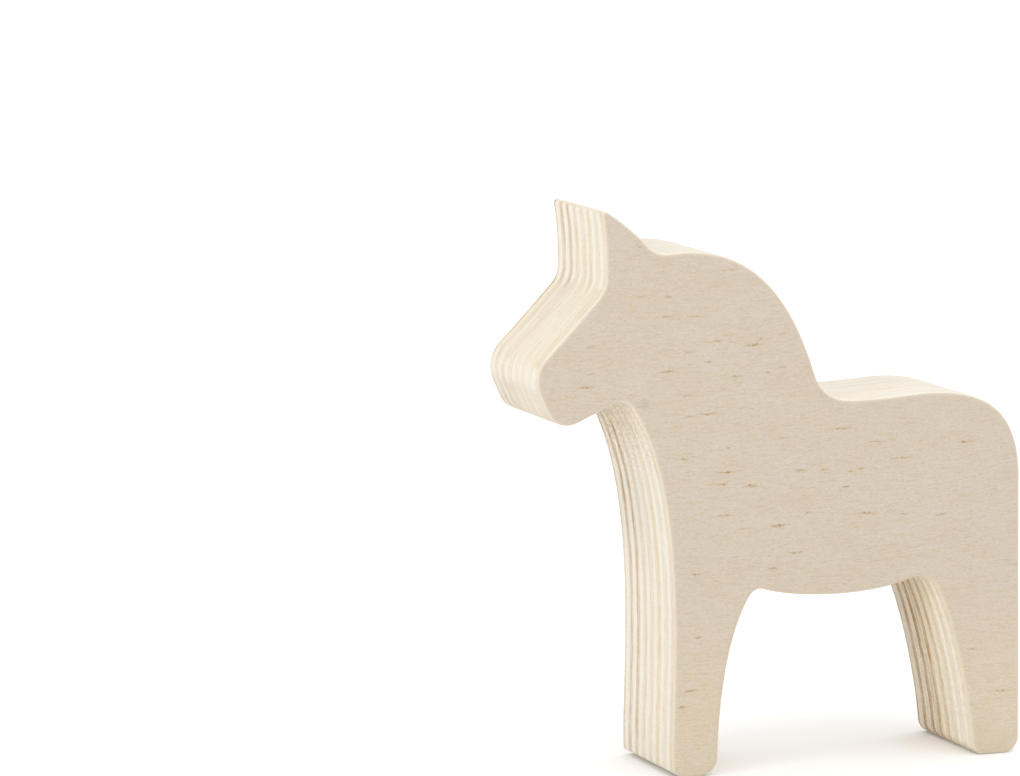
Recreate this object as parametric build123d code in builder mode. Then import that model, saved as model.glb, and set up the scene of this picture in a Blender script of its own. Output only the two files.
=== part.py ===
"""A plywood dala horse: one horse pattern sawn through a sheet of fifteen-ply birch plywood.

The horse stands on two broad legs, with its head towards -X and its thickness along Y. The
origin is on the ground, under the middle of the horse. All sizes are in millimetres.

The sheet is built up from thin birch veneers, each turned a quarter turn from the one before,
with a film of glue between each two. Every veneer and every glue film is a piece of its own,
cut to the same outline. The outer edges of the two face veneers are sanded round.
"""
import os

from build123d import *

# ---- the sheet of plywood ------------------------------------------------------------------
BOARD_THICKNESS = 21.0
VENEER_COUNT = 15
FACE_VENEER_THICKNESS = 1.1  # less than the inner ones, since the board is sanded to size
GLUE_THICKNESS = 0.08
SANDED_EDGE_RADIUS = 0.6

# ---- the pattern's corners, before they are rounded ----------------------------------------
# Each point is (distance along the horse from its middle, height above the ground).
EAR_TIP = (-31.1, 90.0)
POLL = (-21.4, 81.9)  # the notch between the ear and the mane
WITHERS = (6.4, 58.7)  # where the neck meets the back
CROUP = (24.7, 58.6)  # the top of the hindquarters
RUMP = (40.6, 43.9)  # where the hindquarters turn straight down
HIND_HEEL = (41.1, 0.0)
HIND_TOE = (33.0, 0.0)
FLANK = (23.9, 30.1)  # where the hind leg meets the belly
ELBOW = (-4.4, 29.5)  # where the front leg meets the belly
FRONT_HEEL = (-10.7, 0.0)
FRONT_TREAD = (-16.6, 0.0)  # where the flat of the front sole starts
FRONT_TOE = (-18.4, 1.0)
THROAT = (-26.6, 60.0)
CHIN = (-37.8, 55.1)
NOSE = (-42.0, 64.4)
BROW = (-29.7, 77.1)

# ---- how round each corner is sawn ---------------------------------------------------------
CORNER_RADII = {
    EAR_TIP: 0.65,
    POLL: 4.2,
    WITHERS: 6.0,
    HIND_HEEL: 2.6,
    HIND_TOE: 2.3,
    FLANK: 3.8,
    ELBOW: 2.1,
    FRONT_HEEL: 3.1,
    FRONT_TREAD: 2.0,
    FRONT_TOE: 0.65,
    THROAT: 1.9,
    CHIN: 3.9,
    NOSE: 5.0,
    BROW: 4.7,
}

glue_in_all = (VENEER_COUNT - 1) * GLUE_THICKNESS
wood_inside = BOARD_THICKNESS - 2 * FACE_VENEER_THICKNESS - glue_in_all
inner_veneer_thickness = wood_inside / (VENEER_COUNT - 2)

os.makedirs("parts", exist_ok=True)


def veneer_name(number):
    """Veneers are counted from the horse's left side; every second one has upright grain."""
    if number == 1:
        return "left_face_veneer"
    if number == VENEER_COUNT:
        return "right_face_veneer"
    grain = "upright_grain" if number % 2 == 0 else "long_grain"
    return f"{grain}_veneer_{number:02d}"


def veneer_thickness(number):
    """The two face veneers are thinner than the ones between them."""
    return FACE_VENEER_THICKNESS if number in (1, VENEER_COUNT) else inner_veneer_thickness


def right_side_of_veneer(number):
    """Where a veneer's right side is along Y, with the whole sheet centred on Y = 0."""
    sheet_up_to_it = sum(veneer_thickness(lower) + GLUE_THICKNESS for lower in range(1, number))
    return -BOARD_THICKNESS / 2 + sheet_up_to_it + veneer_thickness(number)


# ---- the horse pattern ---------------------------------------------------------------------
with BuildSketch(Plane.XZ) as pattern:
    with BuildLine():
        Bezier(EAR_TIP, (-25.2, 86.6), POLL)  # back of the ear
        Bezier(POLL, (-3.8, 84.9), (2.7, 71.9), WITHERS)  # crest of the neck
        Bezier(WITHERS, (10.4, 57.3), (22.4, CROUP[1]), CROUP)  # back
        Bezier(CROUP, (35.8, CROUP[1]), (RUMP[0], 54.2), RUMP)  # hindquarters
        Line(RUMP, HIND_HEEL)
        Line(HIND_HEEL, HIND_TOE)
        Bezier(HIND_TOE, (32.9, 6.8), (28.2, 29.4), FLANK)  # front of the hind leg
        Bezier(FLANK, (17.7, 26.3), (0.4, 27.0), ELBOW)  # belly
        Bezier(ELBOW, (-10.5, 22.1), (-10.9, 4.3), FRONT_HEEL)  # back of the front leg
        Line(FRONT_HEEL, FRONT_TREAD)
        Line(FRONT_TREAD, FRONT_TOE)
        Bezier(FRONT_TOE, (-19.2, 9.4), (-14.8, 46.6), THROAT)  # front leg and chest
        Line(THROAT, CHIN)
        Line(CHIN, NOSE)
        Bezier(NOSE, (-34.4, 72.0), BROW)  # bridge of the nose
        Bezier(BROW, (-29.8, 89.0), EAR_TIP)  # front of the ear
    make_face()
    for corner, radius in CORNER_RADII.items():
        fillet(pattern.vertices().sort_by_distance(corner)[0], radius)

# ---- the veneers ---------------------------------------------------------------------------
# Each layer is drawn on the plane of its right side and is thick towards the horse's left.
for number in range(1, VENEER_COUNT + 1):
    with BuildPart() as veneer:
        with BuildSketch(Plane.XZ.offset(-right_side_of_veneer(number))):
            add(pattern.sketch_local)
        extrude(amount=veneer_thickness(number))
        if number == 1:
            fillet(veneer.edges().group_by(Axis.Y)[0], SANDED_EDGE_RADIUS)
        if number == VENEER_COUNT:
            fillet(veneer.edges().group_by(Axis.Y)[-1], SANDED_EDGE_RADIUS)
    veneer.part.label = veneer_name(number)
    export_step(veneer.part, f"parts/{veneer.part.label}.step")

# ---- the glue ------------------------------------------------------------------------------
for number in range(1, VENEER_COUNT):
    with BuildPart() as glue_film:
        with BuildSketch(Plane.XZ.offset(-right_side_of_veneer(number) - GLUE_THICKNESS)):
            add(pattern.sketch_local)
        extrude(amount=GLUE_THICKNESS)
    glue_film.part.label = f"glue_film_{number:02d}"
    export_step(glue_film.part, f"parts/{glue_film.part.label}.step")
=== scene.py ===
"""The looks of a plywood dala horse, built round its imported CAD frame.

The horse is bare birch plywood. Every CAD node keeps its shape and gets a wood made of nodes: one
for each face veneer, one for each inner veneer, by the way its grain runs, and one for the glue.
Lengths in the materials are in millimetres. Everything else is in metres, as the frame is.
"""
import math
from typing import NamedTuple

import bpy
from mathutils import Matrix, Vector


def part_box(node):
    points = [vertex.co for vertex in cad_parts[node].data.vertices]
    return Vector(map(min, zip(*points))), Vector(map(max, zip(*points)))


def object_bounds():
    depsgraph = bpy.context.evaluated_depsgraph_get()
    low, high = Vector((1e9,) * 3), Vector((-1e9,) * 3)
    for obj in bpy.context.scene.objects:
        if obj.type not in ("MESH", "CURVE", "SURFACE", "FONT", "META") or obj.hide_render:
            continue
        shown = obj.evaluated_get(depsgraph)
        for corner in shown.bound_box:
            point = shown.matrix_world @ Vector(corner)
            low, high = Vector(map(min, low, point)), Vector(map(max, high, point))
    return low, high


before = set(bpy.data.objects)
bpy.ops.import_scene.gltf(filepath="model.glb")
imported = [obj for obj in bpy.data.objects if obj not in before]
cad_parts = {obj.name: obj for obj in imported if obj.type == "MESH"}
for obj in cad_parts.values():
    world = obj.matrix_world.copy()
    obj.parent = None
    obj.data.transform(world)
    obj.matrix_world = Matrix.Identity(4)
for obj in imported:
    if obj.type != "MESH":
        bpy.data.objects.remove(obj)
cad_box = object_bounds()
low, high = cad_box
centre = (low + high) / 2
size = high - low
MM = 0.001
ALONG = (1.0, 0.0, 0.0)  # from the nose to the rump
ACROSS = (0.0, 1.0, 0.0)  # from the left face to the right face
UP = (0.0, 0.0, 1.0)


class Figure(NamedTuple):
    """A noise that marks the wood."""

    grain: tuple  # how long its grains are along, across and up, in millimetres
    offset: tuple = (0.0, 0.0, 0.0)  # keeps it apart from the other noises
    step: tuple = (1.0, 0.0, 0.0)  # how far on it is sampled for each next veneer
    detail: float = 2.0
    roughness: float = 0.5


class Cut(NamedTuple):
    """How a veneer looks where it is cut: the tint of its end grain, and how strongly it shows."""

    tint: tuple
    sanded: float  # on the sanded edges of the head, the back and the front leg
    sawn: float  # on the sawn edges between the legs
    slopes: float  # on the slopes of the head
    up_chest: float = 0.0  # on the upper chest, added to the rest


# ---- colours, linear -----------------------------------------------------------------------
FACE_PALE = (0.498, 0.437, 0.366)
FACE_WARM = (0.489, 0.419, 0.337)
FACE_TAN = (0.466, 0.378, 0.262)
FACE_AMBER = (0.422, 0.314, 0.177)
FLECK_BROWN = (0.270, 0.170, 0.066)
STAIN_GREY = (0.330, 0.300, 0.270)
# Warm tan of the arris, darkened as painted shade against the lamp's bright line.
RIM_TAN_AND_PAINTED_SHADE = (0.565, 0.485, 0.375)
SAWN_PALE = (0.712, 0.664, 0.572)
GLUE_TAN = (0.44, 0.33, 0.21)
FLOOR_WHITE = (0.92, 0.92, 0.92)
# Tints, which multiply a colour.
BROWN_GRAIN = (0.71, 0.585, 0.48)
GOLDEN_GRAIN = (0.82, 0.68, 0.47)
GREY_GRAIN = (0.80, 0.70, 0.62)
TAN_GRAIN = (0.76, 0.64, 0.51)
# Warmer tone at the hoofs, plus painted light that cancels the floor's contact shadow there.
HOOF_WARMTH_AND_PAINTED_LIGHT = (1.065, 1.048, 1.0)
# Painted shade for edges that face up and along at once, as on the nose.
PAINTED_SLOPE_SHADE_TINT = (0.97, 0.95, 0.905)
# Warm tint for random stains, and for painted warm shade between the legs.
WARM_STAIN_AND_SHADE_TINT = (0.98, 0.93, 0.84)
# Grey mottle and painted shade under the chin.
THROAT_MOTTLE_AND_SHADE_TINT = (0.92, 0.88, 0.84)
# Painted light on edges that face up.
PAINTED_TOP_LIGHT_TINT = (1.02, 1.03, 1.06)

# ---- the plywood's veneers, counted from the left face ---------------------------------------
VENEER_COUNT = 15
CUTS = {
    1: Cut(GREY_GRAIN, 0.54, 0.20, 0.15),
    2: Cut(GOLDEN_GRAIN, 0.12, 0.06, 0.24),
    3: Cut(GREY_GRAIN, 0.30, 0.08, 0.0),
    4: Cut(GOLDEN_GRAIN, 0.04, 0.0, 0.0),
    5: Cut(GOLDEN_GRAIN, 0.44, 0.20, 0.0),
    6: Cut(GOLDEN_GRAIN, 0.16, 0.22, 0.0),
    7: Cut(TAN_GRAIN, 0.30, 0.62, 0.0),
    8: Cut(GOLDEN_GRAIN, 0.02, 0.30, 0.0),
    9: Cut(TAN_GRAIN, 0.40, 0.98, 0.03),
    10: Cut(BROWN_GRAIN, 0.16, 0.52, 0.20),
    11: Cut(BROWN_GRAIN, 0.66, 1.05, 0.05, 0.16),
    12: Cut(BROWN_GRAIN, 0.12, 0.34, 0.0),
    13: Cut(BROWN_GRAIN, 0.58, 1.02, 0.15, 0.26),
    14: Cut(BROWN_GRAIN, 0.08, 0.28, 0.0),
    15: Cut(TAN_GRAIN, 0.60, 1.05, 0.80),
}
MOST_DEPTH = 1.8  # how far a veneer's colour can go towards its tint and past it
UPPER_LEG_DEEPER = 0.2  # how much stronger a long-grain veneer's tint is on the upper legs
MUZZLE_SHARE = 0.45  # how much of the tint is left on the muzzle
FRAYED, WANDERING = 0.9, 1.1  # how far a veneer's middle strays, in millimetres
# From the middle of a veneer outwards, in half thicknesses, and the tint's strength there.
CORE_START, CORE_END, CORE_STRENGTH, RIND_STRENGTH = 0.15, 1.25, 1.15, 0.45

# ---- where the parts of the horse are, in millimetres ----------------------------------------
# Each is the start and the end of a smooth blend from one part to the next, along the horse.
MUZZLE_END = (-38.0, -33.0)
JAW_END = (-30.0, -26.5)
CHEST_END = (-20.0, -17.0)
FRONT_LEG_BACK = (-13.0, -10.5)
RUMP_EDGE = (36.0, 38.0)
# These are the same, going up.
HOOF_END = (8.0, 32.0)
UPPER_LEG = (10.0, 24.0)
CHEST_RISE = (15.0, 45.0)
MID_CHEST = (28.0, 38.0)
BELLY = (29.0, 33.0)
THROAT_START = (44.0, 53.0)
THROAT_END = (58.5, 60.5)

# ---- which way a surface faces: the part of its normal where a blend starts and ends ---------
END_GRAIN = (0.62, 1.0)
SLOPE = (0.25, 0.5)  # the product of the parts along and up
LEVEL = (0.8, 1.0)
UNDERSIDE = (-0.35, -0.05)
BROAD_FACE = (0.60, 0.96)
RIM_INNER, RIM_OUTER = (0.90, 0.998), (0.10, 0.50)
RIM_BY_UP = (0.3, 0.7, 0.55, 0.15)  # the rim's own colour shows less where it faces up

# ---- the figure of the sawn edge -----------------------------------------------------------
NOISE_SPAN = (0.25, 0.75)  # nearly all of a noise lies between these
NOISE_MIDDLE = 0.5
SAWN_FIGURES = {
    "bands": Figure((4.5, 0.5, 4.5), step=(0, 1, 1)),
    "lines": Figure((9.0, 0.17, 9.0)),
    "pores": Figure((0.17, 0.25, 0.17), roughness=0.6),
    "saw marks": Figure((0.28, 7.0, 0.28), step=(0, 0, 0), detail=1.0),
    "mottle": Figure((0.9, 0.9, 0.9), (7, 0, 0), (0, 1, 0), 3.0, 0.6),
    "throat blotches": Figure((0.55, 0.60, 0.55), (5, 0, 0), (0, 0, 0), 3.0, 0.6),
    "stain": Figure((7.0, 3.0, 7.0), (3, 0, 0), (0, 0, 0)),
    "fray": Figure((0.35, 1.2, 0.35), (11, 0, 0), (0, 0, 0), 1.0),
    "wander": Figure((7.0, 4.0, 7.0), (0, 4, 0), detail=1.0),
}
# How far the noises vary the tint's depth and the wood's shade: the least and the most.
BAND_DEPTH = (0.55, 1.45)
LINE_DEPTH = (0.7, 1.3)
LINE_SHADE = (0.96, 1.035)
SAW_MARK_SHADE = (0.98, 1.015)
PORE_SHADE, ROUGH_PORE_SHADE = 0.20, 0.28  # everywhere, and what rough edges add to it
MOTTLE_SHADE = 0.30  # on rough edges
PORE_HEIGHT = 0.7
WARM_STAINS = (0.45, 0.75, 0.0, 0.35)  # from a noise to the warm tint's strength
# Painted warm shade between the legs, for light bounced off the wood there.
UPRIGHT_PAINTED_WARM_SHADE, LONG_PAINTED_WARM_SHADE = 0.15, 0.40  # between the legs, by the way the grain runs
# Painted light between the legs: the veneers nearer the left face, towards the light, are painted
# paler.
UPRIGHT_PAINTED_LIGHT, LONG_PAINTED_LIGHT, PAINTED_LIGHT_STEP = 0.09, 0.03, 0.006  # there too, less for each next veneer
# The throat's sawn edge is mottled grey and carries painted shade in blotches, deeper towards the
# right face.
MOTTLED = (0.35, 0.65)
MOTTLED_LEAST, MOTTLED_RISE, MOTTLED_RANGE = -0.2, 0.8, 0.9
BLOTCHED_THROAT_SHADE = (0.36, 0.62, -0.26, 0.16)
THROAT_SHADE_LEFT, THROAT_SHADE_RISE = 0.35, 0.65
# The middle of the chest is in shade towards the right face, and so is the underside of the nose.
CHEST_DIM, CHEST_DIM_START, CHEST_DIM_COUNT = 0.09, 4, 4
NOSE_DIM = 0.08

# ---- the figure of the broad faces ---------------------------------------------------------
DRIFT = Figure((40.0, 30.0, 16.0), detail=1.0)  # bends the grain up and down
DRIFT_LIFT = 2.4
FACE_FIGURES = {
    "fibres": Figure((0.50, 9.0, 0.085)),
    "threads": Figure((3.0, 9.0, 0.12), (0, 5, 0)),
    "vessels": Figure((1.0, 9.0, 0.09), (0, 9, 0), detail=1.0),
    "clouds": Figure((9.0, 20.0, 3.0), (0, 3, 0)),
    "patches": Figure((1.8, 20.0, 0.28), (0, 7, 0)),
    "spots": Figure((1.0, 20.0, 0.22), (0, 8, 0)),
    "broken": Figure((0.45, 9.0, 0.16), (0, 1, 0), detail=1.0),
}
FLECK_WANDER = Figure((0.7, 9.0, 0.35), (0, 2, 0))  # bends the flecks' outlines
FLECK_NUDGE = 0.7
# From a noise to how strongly it shows or shades: its start and end, and the values there.
WARM_CLOUDS = (0.2, 0.8)
TAN_PATCHES = (0.42, 0.78, 0.0, 0.62)
AMBER_SPOTS = (0.58, 0.80, 0.0, 0.58)
FIBRE_SHADE = (0.25, 0.75, 0.91, 1.09)
THREAD_SHADE = (0.25, 0.75, 0.975, 1.025)
VESSEL_SHADE = (0.62, 0.80, 1.0, 0.88)

# The sanding left faint scratches that slant down towards the rump.
SCRATCHES = Figure((5.0, 1.0, 0.10), step=(0, 0, 0))
SCRATCH_ALONG = (0.83, 0.0, -0.56)
SCRATCH_ACROSS = (0.56, 0.0, 0.83)
SCRATCHED = (0.60, 0.75)
SCRATCHED_PLACES = (0.42, 0.58)
SCRATCH_SHADE = 0.045

# Scattered flecks lie in some of the cells of a grid. The left face has fewer and fainter ones,
# since its larger flecks are listed below.
FLECK_CELL = (8.0, 1.0, 1.5)
FLECK_IN_CELL = (0.13, 0.04)
LEFT_FLECKED, RIGHT_FLECKED = (0.85, 1.0, 0.0, 0.35), (0.75, 1.0, 0.0, 1.0)
FLECK_STRENGTH = 0.8
# By the distance from a listed mark's middle, in half sizes.
FLECK_EDGE = (1.1, 0.25)
FLECK_BROKEN = (-0.25, 1.25)
FLECK_HALO = (1.9, 0.5, 0.0, 0.45)
STAIN_EDGE = (1.2, 0.2, 0.0, 0.40)
FAR_FROM_MARKS = 9.0

# The larger brown flecks on the left face: how far along and how far up the horse each one is,
# as parts of its length and height, and its length and thickness in millimetres.
FLECKS = (
    (0.262, 0.848, 1.0, 0.34),
    (0.258, 0.812, 2.3, 0.27),
    (0.321, 0.809, 2.3, 0.19),
    (0.437, 0.755, 2.7, 0.32),
    (0.452, 0.764, 0.8, 0.24),
    (0.383, 0.891, 2.7, 0.16),
    (0.356, 0.764, 3.0, 0.19),
    (0.344, 0.730, 1.5, 0.21),
    (0.263, 0.719, 2.3, 0.32),
    (0.401, 0.703, 1.7, 0.38),
    (0.467, 0.707, 1.3, 0.20),
    (0.620, 0.602, 4.4, 0.25),
    (0.691, 0.577, 2.6, 0.25),
    (0.878, 0.569, 2.3, 0.36),
    (0.746, 0.545, 3.8, 0.21),
    (0.660, 0.529, 1.2, 0.36),
    (0.638, 0.525, 1.0, 0.27),
    (0.581, 0.532, 1.4, 0.27),
    (0.629, 0.499, 1.4, 0.25),
    (0.674, 0.452, 3.1, 0.33),
    (0.749, 0.448, 1.7, 0.22),
    (0.827, 0.442, 2.1, 0.22),
    (0.296, 0.563, 1.3, 0.32),
    (0.380, 0.539, 2.7, 0.24),
    (0.374, 0.519, 1.5, 0.30),
    (0.433, 0.514, 2.4, 0.40),
    (0.534, 0.534, 1.9, 0.33),
    (0.378, 0.463, 3.0, 0.30),
    (0.489, 0.435, 2.9, 0.49),
    (0.423, 0.434, 2.4, 0.19),
    (0.527, 0.387, 2.2, 0.24),
    (0.479, 0.361, 1.9, 0.27),
    (0.323, 0.356, 1.7, 0.24),
    (0.551, 0.456, 1.2, 0.27),
    (0.097, 0.699, 3.0, 0.32),
    (0.308, 0.638, 1.3, 0.27),
    (0.342, 0.641, 3.2, 0.29),
    (0.385, 0.580, 0.8, 0.30),
    (0.326, 0.243, 1.0, 0.35),
    (0.294, 0.126, 1.2, 0.54),
    (0.310, 0.153, 2.0, 0.30),
    (0.896, 0.190, 1.4, 0.28),
    (0.959, 0.112, 2.5, 0.22),
)
STAINS = ((0.216, 0.6625, 1.9, 2.1),)  # a small grey one at the left side of the throat, as above

# Each face veneer's number, the place its noises are sampled at, its listed flecks and stains, and
# how its scattered flecks show.
FACE_VENEERS = {
    "left_face_veneer": (1, 3.0, FLECKS, STAINS, LEFT_FLECKED),
    "right_face_veneer": (VENEER_COUNT, 11.0, (), (), RIGHT_FLECKED),
}

# ---- how matt the surfaces are, and how deep their grain is in millimetres -------------------
FACE_ROUGHNESS = (0.2, 0.8, 0.62, 0.78)
SAWN_ROUGHNESS = (0.8, 1.9, 0.9, 0.75)
GLUE_ROUGHNESS = (0.2, 0.8, 0.5, 0.7)
FACE_SPECULAR, SAWN_SPECULAR, GLUE_SPECULAR = 0.25, 0.15, 0.25
FACE_RELIEF, SAWN_RELIEF, GLUE_RELIEF = 0.012, 0.015, 0.01
GLUE_MOTTLE = Figure((3.0, 0.5, 3.0), detail=3.0)
GLUE_SOAKED = (0.35, 0.65, 0.0, 0.8)

# ---- the floor and the light ---------------------------------------------------------------
FLOOR_SIZE = 12.0
FLOOR_ROUGHNESS = 0.9
SOLE_GAP = 0.2 * MM
TENT_SIDES = {  # how bright each side of the light tent is
    (-1.0, 0.0, 0.0): 0.49,
    (1.0, 0.0, 0.0): 1.39,
    (0.0, -1.0, 0.0): 1.52,
    (0.0, 1.0, 0.0): 1.02,
    (0.0, 0.0, 1.0): 1.38,
}
LAMP_SIDE = (-0.9, -0.42, 0.25)
LAMP_DISTANCE = 1.2
LAMP_WIDTH = 0.5
LAMP_POWER = 4.3

# ---- the camera, with its angles in degrees ------------------------------------------------
VIEW_AZIMUTH = -20.655
VIEW_ELEVATION = 7.974
VIEW_DISTANCE = 0.8709
AIM = Vector((-0.04149, 0.0, 0.06115))
LENS, SENSOR_WIDTH = 199.4, 36.0


# ---- node trees ----------------------------------------------------------------------------
class Tree:
    """A node tree, with a short way to add each kind of node."""

    def __init__(self, owner):
        owner.use_nodes = True
        self.tree = owner.node_tree
        self.tree.nodes.clear()

    def node(self, kind, inputs=None, **settings):
        """Adds a node. Each listed input is given a value, or linked if it is a socket."""
        made = self.tree.nodes.new(kind)
        for key, value in settings.items():
            setattr(made, key, value)
        for socket, value in (inputs or {}).items():
            if isinstance(value, bpy.types.NodeSocket):
                self.tree.links.new(value, made.inputs[socket])
            else:
                made.inputs[socket].default_value = value
        return made

    def math(self, operation, *values):
        return self.node("ShaderNodeMath", dict(enumerate(values)), operation=operation).outputs[0]

    def product(self, *values):
        result = values[0]
        for value in values[1:]:
            result = self.math("MULTIPLY", result, value)
        return result

    def scaled(self, value, factor, added):
        """The value times the factor, plus what is added."""
        return self.math("MULTIPLY_ADD", value, factor, added)

    def vector(self, operation, *values, scale=1.0):
        inputs = dict(enumerate(values))
        if operation == "SCALE":
            inputs["Scale"] = scale
        made = self.node("ShaderNodeVectorMath", inputs, operation=operation)
        return made.outputs["Value" if operation in ("DOT_PRODUCT", "LENGTH") else "Vector"]

    def blend(self, factor, without, with_it):
        """A number between two others."""
        made = self.node("ShaderNodeMix", {0: factor, 2: without, 3: with_it}, data_type="FLOAT")
        return made.outputs[0]

    def ramp(self, value, start, end, low_value=0.0, high_value=1.0):
        """A smooth step of value, from low_value at start to high_value at end."""
        inputs = {0: value, 1: start, 2: end, 3: low_value, 4: high_value}
        return self.node("ShaderNodeMapRange", inputs, interpolation_type="SMOOTHSTEP").outputs[0]

    def fall(self, value, start, end):
        """A smooth step down, from one at start to nothing at end."""
        return self.ramp(value, start, end, 1.0, 0.0)

    def window(self, value, rise, fall):
        """One between the rise and the fall, and nothing outside them."""
        return self.product(self.ramp(value, *rise), self.fall(value, *fall))


class Wood(Tree):
    """A wood under construction, in millimetres."""

    def __init__(self, name):
        self.material = bpy.data.materials.new(name)
        super().__init__(self.material)
        coordinates = self.node("ShaderNodeTexCoord")
        self.place = self.vector("SCALE", coordinates.outputs["Object"], scale=1 / MM)
        self.x, self.y, self.z = self.node("ShaderNodeSeparateXYZ", {0: self.place}).outputs
        self.normal = self.node("ShaderNodeNewGeometry").outputs["Normal"]

    def facing(self, direction):
        """How far the surface faces a direction, from minus one to one."""
        return self.vector("DOT_PRODUCT", self.normal, direction)

    def facing_either(self, direction):
        """How far the surface faces a direction or its opposite."""
        return self.math("ABSOLUTE", self.facing(direction))

    def stretched(self, lengths, offset=(0.0, 0.0, 0.0), place=None):
        """A place in units of the given lengths, for a grain that is long one way."""
        scales = tuple(1 / length for length in lengths)
        return self.vector("MULTIPLY_ADD", place or self.place, scales, offset)

    def figure(self, figure, number=0.0, place=None):
        offset = tuple(fixed + number * step for fixed, step in zip(figure.offset, figure.step))
        inputs = {
            "Vector": self.stretched(figure.grain, offset, place),
            "Scale": 1.0,
            "Detail": figure.detail,
            "Roughness": figure.roughness,
        }
        return self.node("ShaderNodeTexNoise", inputs).outputs[0]

    def uncentred(self, noise):
        """A noise that varies round nothing."""
        return self.math("SUBTRACT", noise, NOISE_MIDDLE)

    def varied(self, value, noise, least, most):
        """A value scaled up and down by a noise, between the least and the most."""
        return self.product(value, self.ramp(noise, *NOISE_SPAN, least, most))

    def mix(self, factor, under, over, blend="MIX"):
        made = self.node("ShaderNodeMix", data_type="RGBA", blend_type=blend)
        for socket, value in ((0, factor), (6, under), (7, over)):
            if isinstance(value, bpy.types.NodeSocket):
                self.tree.links.new(value, made.inputs[socket])
            else:
                made.inputs[socket].default_value = value if socket == 0 else (*value, 1.0)
        return made.outputs[2]

    def tinted(self, factor, colour, tint):
        return self.mix(factor, colour, self.mix(1.0, colour, tint, "MULTIPLY"))

    def shaded(self, colour, shade):
        grey = self.node("ShaderNodeCombineColor", {0: shade, 1: shade, 2: shade}).outputs[0]
        return self.mix(1.0, colour, grey, "MULTIPLY")

    def finish(self, colour, roughness, height, relief, specular):
        bump = self.node(
            "ShaderNodeBump", {"Height": height, "Distance": relief * MM, "Strength": 1.0}
        )
        surface = self.node(
            "ShaderNodeBsdfPrincipled",
            {
                "Base Color": colour,
                "Roughness": roughness,
                "Specular IOR Level": specular,
                "Normal": bump.outputs[0],
            },
        )
        self.node("ShaderNodeOutputMaterial", {"Surface": surface.outputs[0]})
        return self.material


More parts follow.
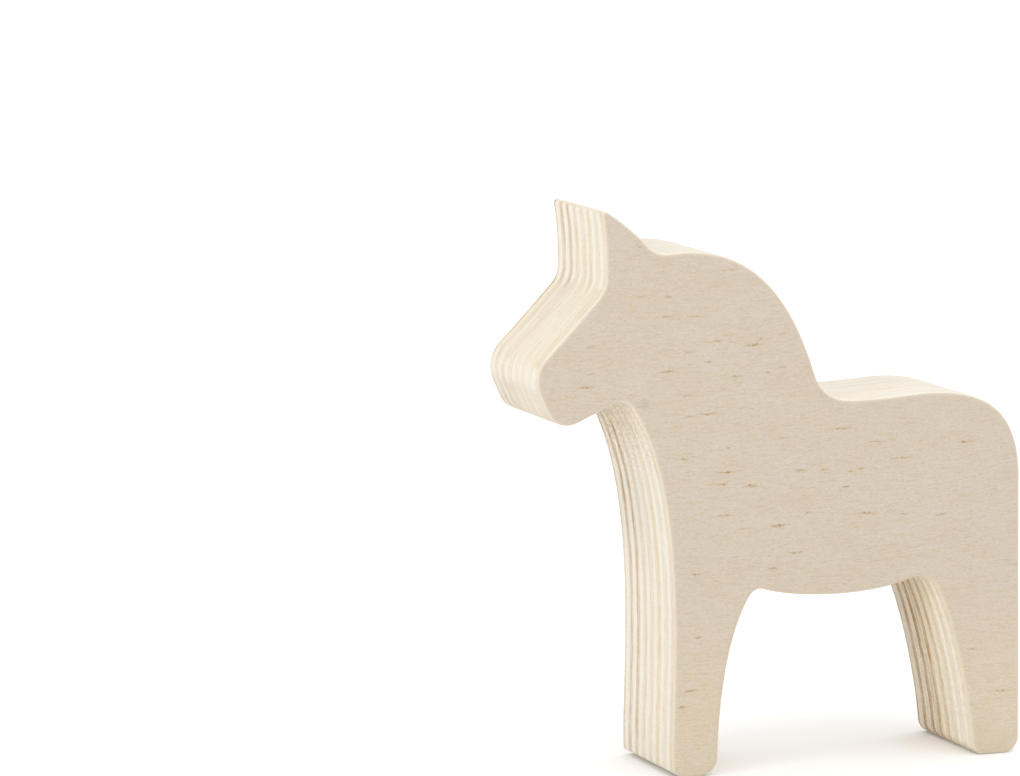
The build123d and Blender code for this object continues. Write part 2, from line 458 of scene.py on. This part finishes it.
# ---- the sawn edge of a veneer -------------------------------------------------------------
class SawnEdge:
    """The colour and the height of one veneer's edge, by the way its grain runs.

    Each part of the edge is one inside that part and fades to nothing outside it.
    """

    def __init__(self, wood, node, number):
        self.wood = wood
        self.node = node
        self.number = number
        self.cut = CUTS[number]
        self.upright = number % 2 == 0
        self.toward_right = number / VENEER_COUNT
        self.figures = {
            name: wood.figure(figure, number) for name, figure in SAWN_FIGURES.items()
        }
        self.slope = wood.ramp(
            wood.product(wood.facing_either(ALONG), wood.facing_either(UP)), *SLOPE
        )
        below_belly = wood.fall(wood.z, *BELLY)
        between_legs = wood.window(wood.x, FRONT_LEG_BACK, RUMP_EDGE)
        self.between_legs = wood.product(between_legs, below_belly)
        self.before_chest = wood.fall(wood.x, *CHEST_END)
        self.throat = wood.product(
            self.before_chest,
            wood.ramp(wood.x, *JAW_END),
            wood.window(wood.z, THROAT_START, THROAT_END),
        )
        self.rough = wood.math("MAXIMUM", self.between_legs, self.throat)
        self.colour = wood.shaded(self.tinted_wood(self.depth()), self.shade())
        self.height = wood.math(
            "ADD",
            wood.math("ADD", self.figures["saw marks"], self.figures["lines"]),
            wood.product(self.figures["pores"], PORE_HEIGHT),
        )

    def core(self):
        """A veneer is darkest along its middle, and its edges are frayed."""
        wood = self.wood
        node_low, node_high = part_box(self.node)
        middle = (node_low.y + node_high.y) / 2 / MM
        half = (node_high.y - node_low.y) / 2 / MM
        strayed = wood.scaled(wood.uncentred(self.figures["fray"]), FRAYED, wood.y)
        strayed = wood.scaled(wood.uncentred(self.figures["wander"]), WANDERING, strayed)
        from_middle = wood.math("ABSOLUTE", wood.math("SUBTRACT", strayed, middle))
        return wood.ramp(
            from_middle, CORE_START * half, CORE_END * half, CORE_STRENGTH, RIND_STRENGTH
        )

    def depth(self):
        """How far the colour goes towards the veneer's tint."""
        wood, cut = self.wood, self.cut
        end_grain = wood.ramp(wood.facing_either(UP if self.upright else ALONG), *END_GRAIN)
        sanded = wood.product(
            wood.ramp(wood.x, *MUZZLE_END, MUZZLE_SHARE, 1.0), wood.product(end_grain, cut.sanded)
        )
        # On the slopes of the head the tint goes deeper, partly as painted shade.
        sanded = wood.scaled(self.slope, cut.slopes, sanded)
        up_chest = wood.product(self.before_chest, wood.window(wood.z, CHEST_RISE, THROAT_END))
        sanded = wood.scaled(up_chest, cut.up_chest, sanded)
        upper_leg = cut.sawn if self.upright else cut.sawn + UPPER_LEG_DEEPER
        sawn = wood.ramp(wood.z, *UPPER_LEG, cut.sawn, upper_leg)
        depth = wood.product(wood.blend(self.between_legs, sanded, sawn), self.core())
        depth = wood.varied(depth, self.figures["bands"], *BAND_DEPTH)
        return wood.varied(depth, self.figures["lines"], *LINE_DEPTH)

    def tinted_wood(self, depth):
        wood = self.wood
        deepest = tuple(
            pale * (1 - MOST_DEPTH * (1 - part)) for pale, part in zip(SAWN_PALE, self.cut.tint)
        )
        colour = wood.mix(wood.math("DIVIDE", depth, MOST_DEPTH), SAWN_PALE, deepest)
        # Painted shade: slopes that face up and along at once are darker and yellower.
        colour = wood.tinted(self.slope, colour, PAINTED_SLOPE_SHADE_TINT)
        # Painted light: edges that face straight up are paler and whiter.
        colour = wood.tinted(wood.ramp(wood.facing(UP), *LEVEL), colour, PAINTED_TOP_LIGHT_TINT)
        # Between the legs the edge is painted warmer, as warm shade from bounced light; elsewhere
        # the warm tint follows random stains.
        painted_warm_shade = UPRIGHT_PAINTED_WARM_SHADE if self.upright else LONG_PAINTED_WARM_SHADE
        stains = wood.ramp(self.figures["stain"], *WARM_STAINS)
        colour = wood.tinted(wood.scaled(self.between_legs, painted_warm_shade, stains), colour, WARM_STAIN_AND_SHADE_TINT)
        # Under the chin: grey mottle, and painted shade that deepens towards the right face.
        least = MOTTLED_LEAST + MOTTLED_RISE * self.toward_right
        mottled = wood.ramp(self.figures["mottle"], *MOTTLED, least, least + MOTTLED_RANGE)
        mottled = wood.math("MAXIMUM", wood.product(self.throat, mottled), 0.0)
        return wood.tinted(mottled, colour, THROAT_MOTTLE_AND_SHADE_TINT)

    def shade(self):
        wood, figures = self.wood, self.figures
        speckle = wood.scaled(self.rough, ROUGH_PORE_SHADE, PORE_SHADE)
        shade = wood.scaled(wood.uncentred(figures["pores"]), speckle, 1.0)
        shade = wood.varied(shade, figures["lines"], *LINE_SHADE)
        shade = wood.varied(shade, figures["saw marks"], *SAW_MARK_SHADE)
        uneven = wood.product(self.rough, MOTTLE_SHADE)
        # Painted light between the legs, strongest on the veneers nearest the left face.
        painted_light = (UPRIGHT_PAINTED_LIGHT if self.upright else LONG_PAINTED_LIGHT) - PAINTED_LIGHT_STEP * self.number
        # Painted shade in blotches under the chin, deeper towards the right face.
        blotched_throat_shade = wood.product(wood.ramp(figures["throat blotches"], *BLOTCHED_THROAT_SHADE), self.throat)
        mid_chest = wood.window(wood.z, MID_CHEST, THROAT_START)
        chest_dim = min(max((self.number - CHEST_DIM_START) / CHEST_DIM_COUNT, 0.0), 1.0)
        under_nose = wood.fall(wood.facing(UP), *UNDERSIDE)
        changes = (
            (self.between_legs, painted_light),
            (wood.uncentred(figures["mottle"]), uneven),
            (blotched_throat_shade, THROAT_SHADE_LEFT + THROAT_SHADE_RISE * self.toward_right),
            (wood.product(self.before_chest, mid_chest), -CHEST_DIM * chest_dim),
            (wood.product(under_nose, wood.fall(wood.x, *MUZZLE_END)), -NOSE_DIM),
        )
        for part, change in changes:
            shade = wood.product(shade, wood.scaled(part, change, 1.0))
        return shade


# ---- the face veneers ----------------------------------------------------------------------
def marks(wood, place, listed):
    """How far each point is from the nearest of the listed marks, in units of its half size."""
    nearest = FAR_FROM_MARKS
    for along, up, length, thickness in listed:
        middle = ((low.x + along * size.x) / MM, 0.0, (low.z + up * size.z) / MM)
        offset = wood.vector("SUBTRACT", place, middle)
        in_half_sizes = wood.vector("MULTIPLY", offset, (2 / length, 0.0, 2 / thickness))
        nearest = wood.math("MINIMUM", wood.vector("LENGTH", in_half_sizes), nearest)
    return nearest


def scratches(wood, drift):
    """Pale slanting scratches, in some places only."""
    turned = {
        "X": wood.vector("DOT_PRODUCT", wood.place, SCRATCH_ALONG),
        "Z": wood.vector("DOT_PRODUCT", wood.place, SCRATCH_ACROSS),
    }
    place = wood.node("ShaderNodeCombineXYZ", turned).outputs[0]
    scratched = wood.ramp(wood.figure(SCRATCHES, place=place), *SCRATCHED)
    return wood.product(scratched, wood.ramp(drift, *SCRATCHED_PLACES))


def scattered_flecks(wood, place, seed, flecked):
    """Flecks in the cells of a flat grid, by the number that each cell happens to have."""
    in_cells = wood.stretched(FLECK_CELL, (seed, 0.0, 0.0), place)
    apart = wood.node("ShaderNodeSeparateXYZ", {0: in_cells}).outputs
    flat = wood.node("ShaderNodeCombineXYZ", {"X": apart["X"], "Y": apart["Z"]}).outputs[0]
    cells = wood.node(
        "ShaderNodeTexVoronoi", {"Vector": flat, "Scale": 1.0}, voronoi_dimensions="2D"
    )
    cell_number = wood.node("ShaderNodeSeparateColor", {0: cells.outputs["Color"]}).outputs[0]
    near = wood.ramp(cells.outputs["Distance"], *FLECK_IN_CELL)
    return wood.product(near, wood.ramp(cell_number, *flecked))


def face_colour(wood, seed, flecks, stains, flecked):
    """Rotary-cut birch, sanded: short fine fibres along the horse, tan patches, brown flecks."""
    drift = wood.figure(DRIFT, seed)
    lift = wood.product(wood.uncentred(drift), DRIFT_LIFT)
    shift = wood.node("ShaderNodeCombineXYZ", {"Z": lift}).outputs[0]
    place = wood.vector("ADD", wood.place, shift)
    figures = {name: wood.figure(figure, seed, place) for name, figure in FACE_FIGURES.items()}

    colour = wood.mix(wood.ramp(figures["clouds"], *WARM_CLOUDS), FACE_PALE, FACE_WARM)
    colour = wood.mix(wood.ramp(figures["patches"], *TAN_PATCHES), colour, FACE_TAN)
    colour = wood.mix(wood.ramp(figures["spots"], *AMBER_SPOTS), colour, FACE_AMBER)
    # Near the floor the face is painted warmer and brighter: partly the hoofs' own tone, partly
    # painted light against the contact shadow.
    colour = wood.tinted(wood.fall(wood.z, *HOOF_END), colour, HOOF_WARMTH_AND_PAINTED_LIGHT)
    shade = wood.product(
        wood.ramp(figures["fibres"], *FIBRE_SHADE),
        wood.ramp(figures["threads"], *THREAD_SHADE),
        wood.ramp(figures["vessels"], *VESSEL_SHADE),
    )
    colour = wood.shaded(colour, wood.scaled(scratches(wood, drift), SCRATCH_SHADE, shade))

    nudge = wood.product(wood.uncentred(wood.figure(FLECK_WANDER, seed)), FLECK_NUDGE)
    sideways = wood.node("ShaderNodeCombineXYZ", {"X": nudge, "Z": nudge}).outputs[0]
    bent = wood.vector("ADD", place, sideways)
    strength = scattered_flecks(wood, bent, seed, flecked)
    if flecks:
        distance = marks(wood, bent, flecks)
        colour = wood.mix(wood.ramp(distance, *FLECK_HALO), colour, FACE_AMBER)
        listed = wood.varied(wood.ramp(distance, *FLECK_EDGE), figures["broken"], *FLECK_BROKEN)
        strength = wood.math("MAXIMUM", strength, listed)
    if stains:
        stained = wood.ramp(marks(wood, wood.place, stains), *STAIN_EDGE)
        colour = wood.mix(stained, colour, STAIN_GREY)
    colour = wood.mix(wood.product(strength, FLECK_STRENGTH), colour, FLECK_BROWN)
    return colour, figures["fibres"]


def face_birch(node):
    """A face veneer: its broad face is sanded wood, and its narrow side is sawn like the rest."""
    number, seed, flecks, stains, flecked = FACE_VENEERS[node]
    wood = Wood(node)
    broad, fibres = face_colour(wood, seed, flecks, stains, flecked)
    narrow = SawnEdge(wood, node, number)
    across = wood.facing_either(ACROSS)
    flat = wood.ramp(across, *BROAD_FACE)
    # The arris rim is the wood's warm tan line, darkened as painted shade so the lamp leaves no
    # bright line along it; less so where it faces up.
    rim = wood.window(across, RIM_OUTER, RIM_INNER)
    rim = wood.product(rim, wood.ramp(wood.facing(UP), *RIM_BY_UP))
    colour = wood.mix(rim, wood.mix(flat, narrow.colour, broad), RIM_TAN_AND_PAINTED_SHADE)
    height = wood.blend(flat, narrow.height, fibres)
    roughness = wood.ramp(fibres, *FACE_ROUGHNESS)
    return wood.finish(colour, roughness, height, FACE_RELIEF, FACE_SPECULAR)


# ---- the inner veneers, seen on the sawn edge ----------------------------------------------
def sawn_birch(node):
    wood = Wood(node)
    edge = SawnEdge(wood, node, int(node[-2:]))
    roughness = wood.ramp(edge.height, *SAWN_ROUGHNESS)
    return wood.finish(edge.colour, roughness, edge.height, SAWN_RELIEF, SAWN_SPECULAR)


# ---- the glue ------------------------------------------------------------------------------
def hard_glue():
    wood = Wood("glue")
    mottle = wood.figure(GLUE_MOTTLE)
    colour = wood.mix(wood.ramp(mottle, *GLUE_SOAKED), GLUE_TAN, SAWN_PALE)
    return wood.finish(
        colour, wood.ramp(mottle, *GLUE_ROUGHNESS), mottle, GLUE_RELIEF, GLUE_SPECULAR
    )


glue = hard_glue()
for node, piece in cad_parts.items():
    if node.startswith("glue_film"):
        material = glue
    elif node in FACE_VENEERS:
        material = face_birch(node)
    else:
        material = sawn_birch(node)
    for slot in piece.material_slots:
        slot.material = material

# ---- the floor -----------------------------------------------------------------------------
# It is clear from below, and clear to light that starts on a sole, so that the soles can be seen.
bpy.ops.mesh.primitive_plane_add(size=FLOOR_SIZE, location=(0.0, 0.0, low.z))
floor = bpy.context.object
floor.name = "floor"
floor_material = bpy.data.materials.new("floor")
floor.data.materials.append(floor_material)
tree = Tree(floor_material)
ray_length = tree.node("ShaderNodeLightPath").outputs["Ray Length"]
from_below = tree.node("ShaderNodeNewGeometry").outputs["Backfacing"]
unseen = tree.math("MAXIMUM", tree.math("LESS_THAN", ray_length, SOLE_GAP), from_below)
painted = tree.node(
    "ShaderNodeBsdfPrincipled",
    {"Base Color": (*FLOOR_WHITE, 1.0), "Roughness": FLOOR_ROUGHNESS},
)
clear = tree.node("ShaderNodeBsdfTransparent")
either = tree.node(
    "ShaderNodeMixShader", {0: unseen, 1: painted.outputs[0], 2: clear.outputs[0]}
)
tree.node("ShaderNodeOutputMaterial", {"Surface": either.outputs[0]})

# ---- the light -----------------------------------------------------------------------------
# A tent of soft white light stands round the horse. Its brightness blends from side to side. The
# camera itself sees a plain white backdrop, whichever side it looks from.
world = bpy.data.worlds.new("studio")
bpy.context.scene.world = world
tree = Tree(world)
direction = tree.node("ShaderNodeTexCoord").outputs["Generated"]
brightness = 0.0
for side, side_brightness in TENT_SIDES.items():
    toward = tree.math("MAXIMUM", tree.vector("DOT_PRODUCT", direction, side), 0.0)
    brightness = tree.scaled(tree.product(toward, toward), side_brightness, brightness)
camera_ray = tree.node("ShaderNodeLightPath").outputs["Is Camera Ray"]
background = tree.node(
    "ShaderNodeBackground",
    {"Color": (1.0, 1.0, 1.0, 1.0), "Strength": tree.blend(camera_ray, brightness, 1.0)},
)
tree.node("ShaderNodeOutputWorld", {"Surface": background.outputs[0]})

lamp_data = bpy.data.lights.new("soft lamp", "AREA")
lamp_data.shape = "SQUARE"
lamp_data.size = LAMP_WIDTH
lamp_data.energy = LAMP_POWER
lamp = bpy.data.objects.new("soft lamp", lamp_data)
lamp.visible_camera = False
bpy.context.scene.collection.objects.link(lamp)
toward_lamp = Vector(LAMP_SIDE).normalized()
lamp.location = centre + toward_lamp * LAMP_DISTANCE
lamp.rotation_euler = toward_lamp.to_track_quat("Z", "Y").to_euler()

# ---- the camera ----------------------------------------------------------------------------
camera_data = bpy.data.cameras.new("camera")
camera_data.lens = LENS
camera_data.sensor_width = SENSOR_WIDTH
camera = bpy.data.objects.new("camera", camera_data)
bpy.context.scene.collection.objects.link(camera)
azimuth = math.radians(VIEW_AZIMUTH)
elevation = math.radians(VIEW_ELEVATION)
toward_camera = Vector(
    (
        math.sin(azimuth) * math.cos(elevation),
        -math.cos(azimuth) * math.cos(elevation),
        math.sin(elevation),
    )
)
camera.location = AIM + toward_camera * VIEW_DISTANCE
camera.rotation_euler = toward_camera.to_track_quat("Z", "Y").to_euler()
bpy.context.scene.camera = camera
bpy.context.scene.view_settings.view_transform = "Standard"
